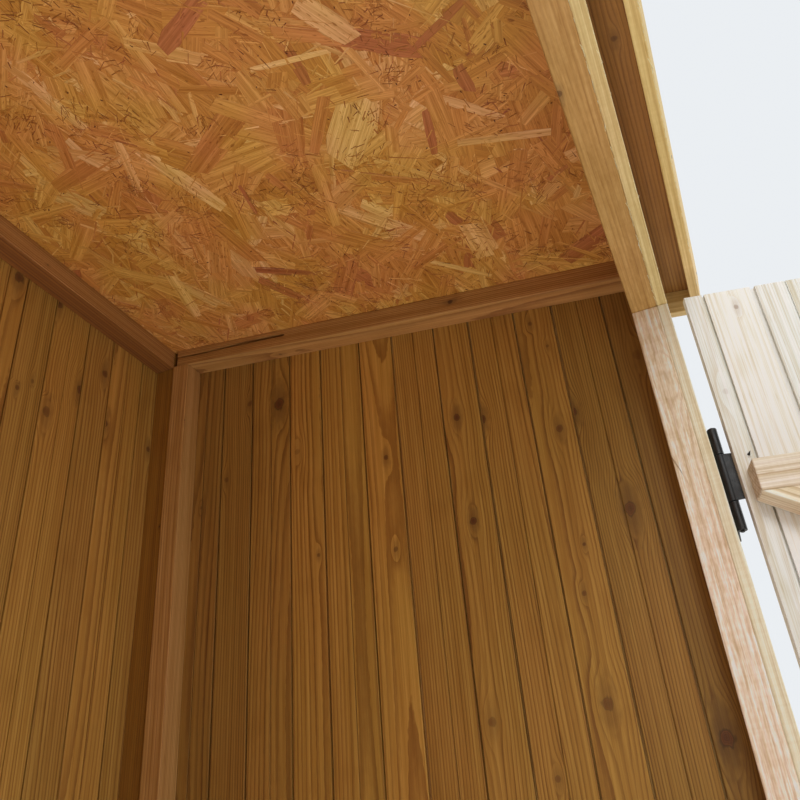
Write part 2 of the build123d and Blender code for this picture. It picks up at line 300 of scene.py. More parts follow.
class Term:
    """A shader value. Arithmetic with it adds the nodes that work out the result."""

    def __init__(self, nodes, socket):
        self.nodes = nodes
        self.socket = socket

    def __add__(self, other):
        return self.nodes.math("ADD", self, other)

    def __sub__(self, other):
        return self.nodes.math("SUBTRACT", self, other)

    def __mul__(self, other):
        return self.nodes.math("MULTIPLY", self, other)

    def __truediv__(self, other):
        return self.nodes.math("DIVIDE", self, other)


class Nodes:
    """The nodes of a material or of the world, written as calls."""

    def __init__(self, owner):
        owner.use_nodes = True
        self.owner = owner
        self.tree = owner.node_tree

    def plug(self, socket, value):
        if isinstance(value, Term):
            self.tree.links.new(value.socket, socket)
        else:
            socket.default_value = value

    def add(self, kind, inputs=None, output=0, **settings):
        node = self.tree.nodes.new("ShaderNode" + kind)
        for key, value in settings.items():
            setattr(node, key, value)
        for key, value in (inputs or {}).items():
            self.plug(node.inputs[key], value)
        return Term(self, node.outputs[output])

    def math(self, operation, *terms):
        return self.add("Math", dict(enumerate(terms)), operation=operation)

    def vector(self, operation, *terms):
        return self.add("VectorMath", dict(enumerate(terms)), operation=operation)

    def length(self, x, y):
        return self.add("VectorMath", {0: self.join(x, y)}, "Value", operation="LENGTH")

    def dimmed(self, colour, factor):
        return self.add("VectorMath", {0: colour, "Scale": factor}, operation="SCALE")

    def shaded(self, colour, shade):
        """A colour times a shade that takes more of its blue than of its red."""
        powers = [self.math("POWER", shade, power) for power in SHADE_POWERS]
        return self.vector("MULTIPLY", colour, self.join(*powers))

    def split(self, vector):
        node = self.tree.nodes.new("ShaderNodeSeparateXYZ")
        self.plug(node.inputs[0], vector)
        return [Term(self, output) for output in node.outputs]

    def join(self, x, y, z=0.0):
        return self.add("CombineXYZ", {0: x, 1: y, 2: z})

    def attribute(self, name):
        return self.add("Attribute", output="Vector", attribute_name=name)

    def noise(self, vector, scale=1.0, detail=2.0, roughness=0.5, output=0):
        inputs = {"Vector": vector, "Scale": scale, "Detail": detail, "Roughness": roughness}
        return self.add("TexNoise", inputs, output)

    def drawn(self, vector, scales, detail=2.0, roughness=0.5):
        """Noise that is drawn out along the axes with the small scales."""
        return self.noise(self.vector("MULTIPLY", vector, scales), 1.0, detail, roughness)

    def ramp(self, value, low, high, to_low=0.0, to_high=1.0, smooth=True):
        inputs = {0: value, 1: low, 2: high, 3: to_low, 4: to_high}
        kind = "SMOOTHSTEP" if smooth else "LINEAR"
        return self.add("MapRange", inputs, interpolation_type=kind)

    def spread(self, noise, low, high):
        """What goes from low to high where most of a noise lies."""
        return self.ramp(noise, 0.3, 0.7, low, high)

    def linear_ramp(self, share, first, last):
        """What goes evenly from first to last while a share goes from 0 to 1."""
        return self.ramp(share, 0, 1, first, last, False)

    def blend(self, factor, first, second, mode="MIX"):
        inputs = {0: factor, 6: first, 7: second}
        return self.add("Mix", inputs, 2, data_type="RGBA", blend_type=mode)

    def hued(self, share, colour, place, first, second):
        """A colour with a share of a hue that goes from first to second."""
        hue = self.blend(place, (*first, 1), (*second, 1))
        return self.blend(share, colour, hue, "MULTIPLY")

    def colours(self, value, stops):
        """A colour ramp through (place, colour) stops."""
        node = self.tree.nodes.new("ShaderNodeValToRGB")
        self.plug(node.inputs[0], value)
        elements = node.color_ramp.elements
        for place, colour in stops[1:-1]:
            elements.new(place).color = linear(*colour)
        for end in (0, -1):
            elements[end].position = stops[end][0]
            elements[end].color = linear(*stops[end][1])
        return Term(self, node.outputs[0])

    def background_rays(self):
        """1 for rays that show the background: the camera's, off metal and through glass."""
        seen = self.add("LightPath", output="Is Camera Ray")
        for kind in ("Is Glossy Ray", "Is Transmission Ray"):
            seen = self.math("MAXIMUM", seen, self.add("LightPath", output=kind))
        return seen

    def finish(self, colour, roughness, height=None, relief=0.0, metallic=0.0):
        """Plugs the results into the surface. height runs from 0 to 1 over relief metres."""
        surface = self.tree.nodes["Principled BSDF"]
        self.plug(surface.inputs["Base Color"], colour)
        self.plug(surface.inputs["Roughness"], roughness)
        surface.inputs["Metallic"].default_value = metallic
        if height is not None:
            bump = self.add("Bump", {"Strength": 1.0, "Distance": relief, "Height": height})
            self.plug(surface.inputs["Normal"], bump)
        return self.owner


def timber_material(
    name, early, late, knot, ring=0.0034, lines=1.0, sawn=0.0, mottle=0.0, hues=1.0, outer_weathered_and_lit=None, under=None
):
    """Softwood cut from a log: year rings about a pith beside the board, parted by knots.
    early and late are the two bands of a year ring; outer_weathered_and_lit is the pair of an outer face,
    paler partly by weathering and partly as painted light, with the inner colours darkened as painted shade
    of the inside; under is what the colour of faces that look down is multiplied by, as painted shade."""
    early, late, knot = (linear(*one) for one in (early, late, knot))
    s = Nodes(bpy.data.materials.new(name))
    grain = s.attribute("grain")
    x, y, z = s.split(grain)
    knot_x, knot_z, radius = s.split(s.attribute("knot"))
    below, further_above, darkness = s.split(s.attribute("span"))
    chance_a, chance_b, chance_c = s.split(s.attribute("tint"))
    fine = s.drawn(grain, (160, 160, 60), 1.0)

    # The grain parts before a knot and closes behind it, as water does round a stone
    reach = s.math("GREATER_THAN", knot_z, 0.0) * further_above + below
    window = s.ramp(s.math("ABSOLUTE", knot_z) / reach, 1.0, 0.4)
    safe = s.math("MAXIMUM", radius, 0.00001)
    long_way = s.length(knot_x, knot_z * KNOT_STRETCH)
    share = safe * KNOT_REACH / s.math("MAXIMUM", long_way, 0.00005)
    swirl = s.math("MINIMUM", share * share, 1.0) * window
    parted = x - knot_x * swirl

    # Year rings: the pith wanders along the board, so that some rings show as long arches
    wander = s.noise(s.join(chance_a * 31.0, chance_b, z), 0.8, 1.0, output="Color")
    sway, dip, _ = s.split(wander)
    across = parted - (chance_a * 0.28 - 0.14) + (sway * 0.03 - 0.015)
    through = y + (chance_b * 0.08 + 0.042) + (dip * 0.036 - 0.018)
    waves = s.drawn(grain, (16, 16, 1.8), 1.0)
    age = s.length(across, through) / ring + waves * 1.2 + swirl * 0.8 + fine * 0.2
    year = s.math("FRACT", age)
    late_wood = s.ramp(year, 0.4, 0.9) * s.ramp(year, 1.0, 0.94)
    yearly = s.ramp(s.noise(s.join(s.math("FLOOR", age), chance_c), 3.7), 0.25, 0.75, 0.35, 1.0)
    band = late_wood * yearly * lines * s.ramp(swirl, 0.7, 1.0, 1.0, 0.2)

    fibres = s.drawn(grain, (620, 620, 9))
    streaks = s.drawn(grain, (140, 140, 1.6))
    flecks = s.ramp(s.drawn(grain, (330, 330, 30), 1.0), 0.66, 0.8)
    patches = s.drawn(grain, (8, 8, 2.4), 1.0, 0.55)
    smudges = s.ramp(s.drawn(grain, (16, 16, 11), 1.0), 0.56, 0.8)

    colour = s.blend(band, early, late)
    # Outer faces take their own paler pair: partly weathering, partly painted light, against inner faces
    # darkened as painted shade
    if outer_weathered_and_lit:
        outer_early, outer_late = (linear(*one) for one in outer_weathered_and_lit)
        outer = s.ramp(y, 0.004, 0.009)
        colour = s.blend(outer, colour, s.blend(band, outer_early, outer_late))
    colour = s.hued(hues, colour, s.ramp(patches, 0.34, 0.68), (0.975, 1.0, 0.93), (1.025, 0.985, 0.975))
    colour = s.hued(hues, colour, chance_b, (0.985, 1.0, 0.94), (1.015, 0.985, 0.975))
    shade = s.spread(fibres, 0.89, 1.09) * s.spread(streaks, 0.86, 1.12)
    shade = shade * s.linear_ramp(flecks, 1.0, 0.84) * s.linear_ramp(smudges, 1.0, 0.88)
    if sawn:
        marks = s.noise(s.join(x * 22.0, z * 210.0), 1.0, 1.0, 0.6)
        shade = shade * s.spread(marks, 1 - sawn, 1 + sawn * 0.6)
    if mottle:
        cloud = s.drawn(grain, (190, 190, 40), 2.0, 0.75)
        shade = shade * s.spread(cloud, 1 - mottle, 1 + mottle * 0.5)
    # Each board's lightness from its tint; on the end wall the given tones also carry painted shade
    colour = s.dimmed(s.shaded(colour, shade), s.ramp(chance_c, -1, 1, 0.24, 1.2, False))
    colour = s.vector("MINIMUM", colour, PALEST)
    # Painted shade: faces that look down are darkened, as if in the shade beneath the timber
    if under:
        _, _, facing = s.split(s.add("NewGeometry", output="Normal"))
        colour = s.blend(s.ramp(facing, -0.3, -0.7), colour, s.blend(1.0, colour, under, "MULTIPLY"))

    # The knot itself, in a halo of darker wood that runs out along the grain
    wobble = fine * 1.1 + 0.45
    near = s.length(knot_x, knot_z * 0.82) / (safe * KNOT_CORE) * wobble
    halo = s.ramp(long_way / safe * wobble, 2.6, 0.6) * darkness * 0.48
    colour = s.blend(halo, colour, knot, "MULTIPLY")
    rings = s.ramp(s.math("FRACT", near * 3.3), 0.2, 0.8, 0.8, 1.1)
    core = s.ramp(near, 1.2, 0.75) * (darkness * 0.78 + 0.1)
    heart = rings * s.ramp(near, 0.1, 1.1, 0.6, 1.05)
    colour = s.blend(core, colour, s.dimmed(knot[:3], heart))
    rim = s.ramp(near, 1.35, 1.05) * s.ramp(near, 0.8, 1.0)
    colour = s.dimmed(colour, rim * darkness * -0.45 + 1.0)

    height = s.drawn(grain, (620, 620, 9), 0.0)
    return s.finish(colour, s.spread(fibres, 0.6, 0.76), height, 0.0002)


def strand_material():
    """Pressed wood strands: each has its own colour and its fibres run along it."""
    s = Nodes(bpy.data.materials.new("strand_board"))
    grain = s.attribute("grain")
    pick, lightness, dim = s.split(s.attribute("tint"))
    place = s.add("TexCoord", output="Object")
    stops = [
        (0.0, (222, 177, 114)),
        (0.25, (214, 161, 87)),
        (0.5, (202, 142, 65)),
        (0.75, (190, 124, 61)),
        (0.88, (178, 109, 58)),
        (1.0, (156, 89, 50)),
    ]
    fibres = s.drawn(grain, (14, 700, 700), 2.0, 0.6)
    streaks = s.drawn(grain, (4, 150, 150), 2.0, 0.6)
    cloud = s.noise(place, 9.0, 1.0, 0.6)
    nests = s.ramp(s.noise(place, 16.0, 1.0), 0.45, 0.62, 0.25, 1.0)
    specks = s.ramp(s.drawn(grain, (90, 330, 330), 1.0), 0.6, 0.72) * nests
    colour = s.colours(pick, stops)
    colour = s.hued(1.0, colour, s.ramp(cloud, 0.34, 0.66), (0.98, 1.02, 0.8), (1.03, 0.94, 1.08))
    shade = s.spread(fibres, 0.82, 1.1) * s.spread(streaks, 0.74, 1.12)
    shade = shade * s.linear_ramp(lightness, 0.94, 1.05) * s.linear_ramp(specks, 1.0, 0.55)
    shade = shade * s.linear_ramp(dim, 1.0, 0.2)
    height = s.drawn(grain, (14, 700, 700), 0.0)
    return s.finish(s.shaded(colour, shade), s.spread(streaks, 0.52, 0.7), height, 0.0002)


def felt_material():
    """Roofing felt with pressed-in mineral grit."""
    s = Nodes(bpy.data.materials.new("roof_felt"))
    place = s.add("TexCoord", output="Object")
    grit = s.noise(place, 900.0, 2.0, 0.7)
    patches = s.noise(place, 3.0, 4.0, 0.6)
    colour = s.colours(grit, [(0.3, (30, 33, 33)), (0.5, (58, 63, 61)), (0.72, (112, 116, 112))])
    worn = s.ramp(patches, 0.35, 0.7, 0.0, 0.4)
    colour = s.blend(worn, colour, linear(96, 101, 98))
    return s.finish(colour, s.spread(grit, 0.8, 0.95), patches * 0.3 + grit, 0.0012)


def metal_material(name, dark, pale, metallic, low, high):
    """Painted or galvanized steel with a fine orange-peel surface and rubbed patches."""
    s = Nodes(bpy.data.materials.new(name))
    place = s.add("TexCoord", output="Object")
    patches = s.noise(place, 60.0, 4.0, 0.6)
    peel = s.noise(place, 700.0, 2.0)
    colour = s.blend(s.ramp(patches, 0.35, 0.75), linear(*dark), linear(*pale))
    return s.finish(colour, s.spread(patches, low, high), peel, 0.0002, metallic)


def floor_material():
    s = Nodes(bpy.data.materials.new("studio_floor"))
    cloud = s.noise(s.add("TexCoord", output="Object"), 0.6, 2.0)
    colour = s.blend(s.spread(cloud, 0.0, 1.0), linear(231, 230, 227), linear(226, 225, 222))
    return s.finish(s.dimmed(colour, s.linear_ramp(s.background_rays(), 1.0, 0.84)), 0.8)


# Inner faces darker and browner as painted shade of the inside; the outer pair is paler, partly weathering,
# partly painted light
BOARDS = timber_material(
    "boards", (180, 134, 60), (132, 85, 27), (104, 54, 16), outer_weathered_and_lit=((218, 190, 142), (192, 154, 102))
)
# Leaf boards paler than the wall boards: partly weathered wood, partly painted sunlight
LEAF_BOARDS = timber_material(
    "leaf_boards", (229, 230, 229), (213, 203, 188), (156, 106, 62), lines=0.75, hues=0.35
)
RAILS = timber_material("rails", (184, 135, 76), (137, 88, 40), (84, 44, 24), sawn=0.02)
# The back rails' faces that look down get painted shade
BACK_RAILS = timber_material(
    "back_rails", (173, 123, 68), (130, 81, 37), (84, 44, 24), sawn=0.02, under=(0.52, 0.38, 0.15, 1.0)
)
STILES = timber_material("stiles", (190, 143, 84), (158, 109, 58), (92, 50, 28), ring=0.003)
# Corner stiles darker and more saturated: partly their own darker timber, partly painted shade of the back
# corner
CORNERS = timber_material("corner_stiles", (144, 99, 30), (117, 72, 18), (80, 40, 16))
POSTS = timber_material(
    "posts", (230, 212, 202), (199, 167, 147), (152, 102, 76), ring=0.004, lines=0.6, sawn=0.03, mottle=0.18
)
HEADER = timber_material(
    "header_timber", (196, 155, 92), (158, 110, 53), (110, 66, 30), 0.005, lines=0.5, sawn=0.02, mottle=0.1
)
BATTENS = timber_material("battens", (168, 121, 62), (127, 79, 32), (84, 44, 24), sawn=0.02)
PLANED = {"lines": 0.6, "sawn": 0.02, "mottle": 0.05}
FASCIAS = timber_material("fascias", (212, 185, 132), (190, 155, 99), (126, 80, 40), **PLANED)
TRIM = timber_material("trim", (230, 205, 150), (206, 171, 113), (126, 80, 40), **PLANED)
PALE_TRIM = timber_material(
    "pale_trim", (234, 226, 208), (222, 206, 180), (150, 100, 58), lines=0.6, sawn=0.03, hues=0.5
)
LEDGES = timber_material("ledges", (225, 214, 197), (195, 172, 144), (130, 84, 48), ring=0.005, sawn=0.02)
TORN = timber_material("torn_fibre", (236, 222, 190), (222, 200, 156), (190, 150, 100))
STRANDS = strand_material()
FELT = felt_material()
IRON = metal_material("black_iron", (13, 13, 14), (24, 24, 25), 0.0, 0.4, 0.56)
STEEL = metal_material("galvanized", (128, 130, 132), (168, 170, 172), 1.0, 0.35, 0.6)


class Pile:
    """Pieces of one kind gathered in one mesh, each with its own grain and tint."""

    def __init__(self, seed):
        self.random = np.random.default_rng(seed)
        self.points = []
        self.faces = []
        self.corners = {}

    def add(self, points, faces, place, tint=None, corners=None):
        """points are local, with X across, Y through and Z along the grain; place puts them.
        corners(points, face) may give more values for the corners of a face."""
        points = np.asarray(points, float)
        tint = tuple(self.random.uniform(*TINT_RANGE) if tint is None else tint)
        shift = np.array((0, 0, self.random.random() * GRAIN_SHIFT))
        first = len(self.points)
        self.points += [place @ Vector(point) for point in points]
        flipped = place.determinant() < 0
        for face in faces:
            face = list(face)[::-1] if flipped else list(face)
            self.faces.append([first + n for n in face])
            values = {"grain": points[face] + shift, "tint": [tint] * len(face)}
            if corners:
                values.update(corners(points, face))
            for key, rows in values.items():
                self.corners.setdefault(key, []).extend(rows)

    def timber(self, work, place, knots, tint=None):
        """Adds one piece of timber, cut between its knots so that each part knows its own one.
        A knot is (across, along, radius, darkness, on an edge)."""
        knots = sorted(knots, key=lambda one: one[1])
        bounds = [(one[1] + two[1]) / 2 for one, two in zip(knots, knots[1:])]
        for bound in bounds:
            geometry = [*work.verts, *work.edges, *work.faces]
            bmesh.ops.bisect_plane(work, geom=geometry, plane_co=(0, 0, bound), plane_no=UP)
        walls = [-10.0, *bounds, 10.0]

        def knot_values(points, face):
            corners = points[face]
            number = int(np.searchsorted(bounds, corners[:, 2].mean()))
            across, along, radius, darkness, on_edge = knots[number]
            normal = np.abs(np.cross(corners, np.roll(corners, -1, axis=0)).sum(axis=0))
            column = 1 if on_edge else 0
            if (normal[0] > normal[1]) != on_edge:
                radius = 0.0
            below, above = along - walls[number], walls[number + 1] - along
            offsets = [(point[column] - across, point[2] - along, radius) for point in corners]
            return {"knot": offsets, "span": [(below, above - below, darkness)] * len(face)}

        self.add(*mesh_arrays(work), place, tint, knot_values if knots else no_knot_values)

    def piece(self, name, material, body, slot, *nodes):
        """Finishes the piece. It rides on a body and stands for the nodes named."""
        mesh = bpy.data.meshes.new(name)
        mesh.from_pydata([tuple(point) for point in self.points], [], self.faces)
        for key, values in self.corners.items():
            layer = mesh.attributes.new(key, "FLOAT_VECTOR", "CORNER")
            layer.data.foreach_set("vector", np.array(values, np.float32).ravel())
        mesh.update()
        mesh.shade_flat()
        place_piece(mesh, material, body, slot, *nodes)


def no_knot_values(points, face):
    return {"knot": [(1.0, 1.0, 0.0)] * len(face), "span": [(1.0, 0.0, 0.0)] * len(face)}


def random_knots(random, low, high, width, depth):
    """Knots of a framing timber from low to high along its grain."""
    knots = []
    along = low + random.uniform(*FRAMING_KNOT_START)
    while along < high:
        on_edge = bool(random.random() < EDGE_KNOTS)
        side = depth if on_edge else width
        radius = random.uniform(*(LARGE_KNOT if random.random() < LARGE_KNOTS else SMALL_KNOT))
        knots.append((random.uniform(-0.4, 0.4) * side, along, radius, random.uniform(0.4, 1.0), on_edge))
        along += random.uniform(*FRAMING_KNOT_STEPS)
    return knots


def place_piece(mesh, material, body, slot, *nodes):
    """Puts a mesh in the scene as a piece of the object, named like the mesh."""
    mesh.materials.append(material)
    piece = bpy.data.objects.new(mesh.name, mesh)
    bpy.context.scene.collection.objects.link(piece)
    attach(piece, body)
    if nodes:
        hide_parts(*nodes)


def worked_mesh(work, name):
    """A mesh of what was worked out in a bmesh."""
    mesh = bpy.data.meshes.new(name)
    work.to_mesh(mesh)
    work.free()
    return mesh


def mesh_arrays(work):
    """Points and faces of a bmesh."""
    work.verts.ensure_lookup_table()
    work.verts.index_update()
    points = [vert.co.copy() for vert in work.verts]
    faces = [[vert.index for vert in face.verts] for face in work.faces]
    return points, faces


def face_outwards(work):
    bmesh.ops.recalc_face_normals(work, faces=work.faces)


def extent(points):
    """Lowest and highest corners of some points."""
    points = list(points)
    lows, highs = ([end(point[axis] for point in points) for axis in range(3)] for end in (min, max))
    return Vector(lows), Vector(highs)


def node_extent(name, turn):
    """Lowest and highest corners of a CAD node once a turn has moved it."""
    return extent(turn @ vert.co for vert in frame["nodes"][name].data.vertices)


def mean_place(points):
    points = list(points)
    return sum(points, Vector()) / len(points)


def frame_at(place, x, y, z):
    """The matrix of a frame at a place, from its axes."""
    return Matrix.Translation(place) @ Matrix((x, y, z)).transposed().to_4x4()


def prism(outline, shift):
    """A bmesh of a face through an outline, drawn out by a shift."""
    work = bmesh.new()
    face = work.faces.new([work.verts.new(point) for point in outline])
    side = bmesh.ops.extrude_face_region(work, geom=[face])
    moved = [item for item in side["geom"] if isinstance(item, bmesh.types.BMVert)]
    bmesh.ops.translate(work, verts=moved, vec=shift)
    face_outwards(work)
    return work


def node_solids(name):
    """The separate solids of a CAD node, each as a clean bmesh of flat faces."""
    work = bmesh.new()
    work.from_mesh(frame["nodes"][name].data)
    bmesh.ops.remove_doubles(work, verts=work.verts, dist=1e-5)
    flat = math.radians(0.5)
    bmesh.ops.dissolve_limit(work, angle_limit=flat, verts=work.verts, edges=work.edges)
    for elements in (work.verts, work.faces):
        elements.index_update()
    solids = []
    left = set(work.verts)
    while left:
        group = {next(iter(left))}
        front = set(group)
        while front:
            front = {e.other_vert(v) for v in front for e in v.link_edges} - group
            group |= front
        left -= group
        solid = bmesh.new()
        places = {vert: solid.verts.new(vert.co) for vert in in_order(group)}
        for face in in_order({f for v in group for f in v.link_faces}):
            solid.faces.new([places[vert] for vert in face.verts])
        solid.normal_update()
        face_outwards(solid)
        solids.append(solid)
    work.free()
    return sorted(solids, key=lambda one: [round(c, 4) for c in mean_place(vert.co for vert in one.verts)])


def in_order(elements):
    """Elements of a bmesh by number, because a set of them has a new order on each run."""
    return sorted(elements, key=lambda one: one.index)


def grain_frame(solid):
    """A frame at a prism's middle: Z along its longest edge, Y square to its widest face."""
    longest = max(solid.edges, key=lambda edge: edge.calc_length())
    along = (longest.verts[1].co - longest.verts[0].co).normalized()
    along = -along if along.dot(GRAIN_SENSE) < 0 else along
    sides = [face for face in solid.faces if abs(face.normal.dot(along)) < 0.5]
    widest = max(sides, key=lambda face: (face.calc_area(), face.normal.dot(GRAIN_SENSE)))
    through = (widest.normal - along * widest.normal.dot(along)).normalized()
    return frame_at(mean_place(vert.co for vert in solid.verts), through.cross(along), through, along)


def eased(solid, width, segments):
    """Rounds every sharp edge of a solid."""
    sharp = [edge for edge in solid.edges if edge.calc_face_angle(0) > math.radians(20)]
    bmesh.ops.bevel(
        solid, geom=sharp, offset=width, segments=segments, profile=0.5, affect="EDGES", clamp_overlap=True
    )


def timber_node(name, material, body, slot, seed):
    """A CAD node of timber, with eased edges, its own grain and its own knots."""
    pile = Pile(seed)
    for solid in node_solids(name):
        place = grain_frame(solid)
        eased(solid, TIMBER_ARRIS, 2)
        if name in SHAKES:
            solid = split_open(solid, *SHAKES[name])
        solid.transform(place.inverted())
        highs = [max(abs(vert.co[axis]) for vert in solid.verts) for axis in range(3)]
        knots = random_knots(pile.random, -highs[2], highs[2], 2 * highs[0], 2 * highs[1])
        seen = framing_knots(name, place, highs)
        for one in seen:
            knots = [knot for knot in knots if abs(knot[1] - one[1]) > KNOTS_APART]
        pile.timber(solid, place, knots + seen)
        solid.free()
    pile.piece(name + "_timber", material, body, slot, name)


def framing_knots(name, place, highs):
    """The seen knots of a node that lie on one of its timbers, in that timber's own frame."""
    knots = []
    for spot, radius, darkness in FRAMING_KNOTS.get(name, ()):
        across, through, along = place.inverted() @ Vector(spot)
        beside = max(abs(across) - highs[0], abs(through) - highs[1])
        if beside < KNOT_TOLERANCE and abs(along) < highs[2]:
            on_edge = highs[0] - abs(across) < highs[1] - abs(through)
            knots.append((through if on_edge else across, along, radius, darkness, on_edge))
    return knots


def split_open(solid, face, depth, outline):
    """Cuts a shake into a solid: its outline on the face at that X goes in by its depth."""
    lows, highs = extent(vert.co for vert in solid.verts)
    middle = mean_place(Vector((0, y, z)) for y, z in outline)
    if not (lows.z < middle.z < highs.z and lows.y < middle.y < highs.y):
        return solid
    cutter = prism([(face - SHAKE_START, y, z) for y, z in outline], (depth + SHAKE_START, 0, 0))
    bodies = [bpy.data.objects.new("shake", worked_mesh(work, "shake")) for work in (solid, cutter)]
    for body in bodies:
        bpy.context.scene.collection.objects.link(body)
    cut = bodies[0].modifiers.new("shake", "BOOLEAN")
    cut.operation = "DIFFERENCE"
    cut.solver = "EXACT"
    cut.object = bodies[1]
    result = bmesh.new()
    result.from_object(bodies[0], bpy.context.evaluated_depsgraph_get())
    for body in bodies:
        bpy.data.meshes.remove(body.data)
    return result


def metal_node(name, material, body):
    """A CAD node of metal, with eased edges."""
    work = bmesh.new()
    for solid in node_solids(name):
        eased(solid, METAL_ARRIS, 1)
        copy = worked_mesh(solid, "solid")
        work.from_mesh(copy)
        bpy.data.meshes.remove(copy)
    place_piece(worked_mesh(work, name + "_metal"), material, body, "black_iron", name)


def largest_face(name, direction):
    """Corners and normal of a node's largest face that looks about along a direction."""
    solid = node_solids(name)[0]
    faces = [face for face in solid.faces if face.normal.dot(direction) > 0.9]
    face = max(faces, key=lambda one: one.calc_area())
    result = [vert.co.copy() for vert in face.verts], face.normal.copy()
    solid.free()
    return result


corners, down = largest_face("roof_sheet", -UP)
ROOF_POINT = mean_place(corners)
ROOF_NORMAL = -down
ROOF_RUN = ROOF_NORMAL.cross(X_AXIS)
ROOF = frame_at(ROOF_POINT, X_AXIS, ROOF_RUN, ROOF_NORMAL)
POST_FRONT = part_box("right_front_post")[0].y
ROOF_FRONT = (POST_FRONT - ROOF_POINT.y) / ROOF_RUN.y
HINGE = next(one for one in frame["joints"] if one["name"] == "right_door_hinge")
PIN = Vector(HINGE["pos_m"])
SHUT_TURN = Matrix.Rotation(math.radians(HINGE["range_deg"][0]), 4, Vector(HINGE["axis"]))
CLOSED = Matrix.Translation(PIN) @ SHUT_TURN @ Matrix.Translation(-PIN)
OPENED = CLOSED.inverted()


def board_edges(length, first_joint, staves, widths):
    """Boards along a panel: (start, end, gap at the start, gap at the end, kerf places)."""
    joints = [(0.0, 0.0)]
    kerfs = []
    start = first_joint - sum(staves)
    while start < length:
        for place, width in ((start, widths[0]), (start + staves[0], widths[1])):
            if VEE_WIDTH < place < length - VEE_WIDTH:
                joints.append((place, width))
        kerfs.append(start + staves[0] + staves[1])
        start += sum(staves)
    joints.append((length, 0.0))
    boards = []
    for (low, low_gap), (high, high_gap) in zip(joints, joints[1:]):
        inside = [kerf for kerf in kerfs if low + VEE_WIDTH < kerf < high - VEE_WIDTH]
        boards.append((low, high, low_gap, high_gap, inside))
    return boards


def board_outline(width, thickness, low_gap, high_gap, kerfs):
    """A board's section: inner face on Y = 0, a tongue in the joint at its far edge."""
    low = low_gap / 2
    high = width - high_gap / 2
    outline = [(low, ARRIS), (low + ARRIS * 0.4, ARRIS * 0.3), (low + ARRIS, 0.0)]
    for kerf in kerfs:
        half = KERF_WIDTH / 2
        side = [(half + ARRIS * 0.5, 0.0), (half, ARRIS * 0.5), (half, KERF_DEPTH)]
        outline += [(kerf - u, depth) for u, depth in side]
        outline += [(kerf + u, depth) for u, depth in side[::-1]]
    outline += [(high - ARRIS, 0.0), (high - ARRIS * 0.4, ARRIS * 0.3), (high, ARRIS)]
    bottom = thickness - VEE_DEPTH
    if high_gap:
        tongue = high + high_gap
        outline += [(high, JOINT_DEPTH), (tongue, JOINT_DEPTH), (tongue, bottom - 0.0005)]
        outline += [(width - 0.0001, bottom), (width - VEE_WIDTH / 2, thickness)]
    else:
        outline += [(high, thickness - ARRIS), (high - ARRIS, thickness)]
    if low_gap:
        outline += [(VEE_WIDTH / 2, thickness), (0.0001, bottom), (low, bottom - 0.0005)]
    else:
        outline += [(low + ARRIS, thickness), (low, thickness - ARRIS)]
    return outline


def board_knots(random, low, high, height, seen, clear):
    """Knots of one board from low to high along its panel: the seen ones, then chance ones.
    clear is how far along the panel and how high the photograph leaves no chance ones."""
    middle = (low + high) / 2
    knots = [(u - middle, z, radius, darkness, False) for u, z, radius, darkness in seen if low <= u < high]
    z = random.uniform(*BOARD_KNOT_START)
    while z < height:
        apart = min([abs(z - one[1]) for one in knots], default=1.0)
        hidden = high < clear[0] or z < clear[1]
        across = random.uniform(-0.42, 0.42) * (high - low)
        radius = BOARD_KNOT * math.exp(random.uniform(0, BOARD_KNOT_POWER))
        darkness = random.uniform(0.3, 1.0)
        if hidden and apart > BOARD_KNOTS_APART:
            knots.append((across, z, radius, darkness, False))
        z += random.uniform(*BOARD_KNOT_STEPS)
    return knots


def cut_off(work, point, normal):
    """Takes off what lies beyond a plane and closes the cut."""
    geometry = [*work.verts, *work.edges, *work.faces]
    sliced = bmesh.ops.bisect_plane(work, geom=geometry, plane_co=point, plane_no=normal, clear_outer=True)
    loop = [item for item in sliced["geom_cut"] if isinstance(item, bmesh.types.BMEdge)]
    bmesh.ops.edgenet_fill(work, edges=loop)
    face_outwards(work)


def board_panel(name, body, seed, place, size, kind, first_joint, seen=(), clear=NOT_SEEN, tones_and_shade=()):
    """A wall or leaf of upright boards that replaces the CAD node of that name.
    size is length, thickness and height; walls are cut off under the roof."""
    material, staves, gaps = kind
    pile = Pile(seed)
    nails = []
    length, thickness, height = size
    foot = place.translation.z
    seen = [(u, z - foot, radius, darkness) for u, z, radius, darkness in seen]
    clear = (clear[0], clear[1] - foot)
    boards = board_edges(length, first_joint, staves, gaps)
    for number, (low, high, low_gap, high_gap, kerfs) in enumerate(boards):
        width = high - low
        jitter = pile.random.uniform(-JOINT_JITTER, JOINT_JITTER, 3)
        changes = zip((low_gap, high_gap), jitter)
        own_gaps = [gap and max(LEAST_JOINT, gap + change) for gap, change in changes]
        outline = board_outline(width, thickness, *own_gaps, [kerf - low for kerf in kerfs])
        work = prism([(u - width / 2, w, -height / 2) for u, w in outline], (0, 0, height))
        seat = place @ Matrix.Translation((low + width / 2, jitter[2] / 2, height / 2))
        if body == "shelter":
            local = seat.inverted()
            cut_off(work, local @ ROOF_POINT, (local.to_3x3() @ ROOF_NORMAL).normalized())
        knots = board_knots(pile.random, low, high, height, seen, clear)
        knots = [(across, along - height / 2, *rest) for across, along, *rest in knots]
        tint = pile.random.uniform(*TINT_RANGE)
        # Given board tones on the end wall, which hold painted shade
        if tones_and_shade:
            tint[2] = tones_and_shade[number]
        pile.timber(work, seat, knots, tint)
        work.free()
        for share in NAIL_SHARES:
            nails += nail_column(place @ Matrix.Translation((low + width * share, thickness, 0)), body)
    heads(name + "_nails", nails, *NAIL_HEAD, STEEL, body)
    pile.piece(name + "_separate", material, body, "boards", name)


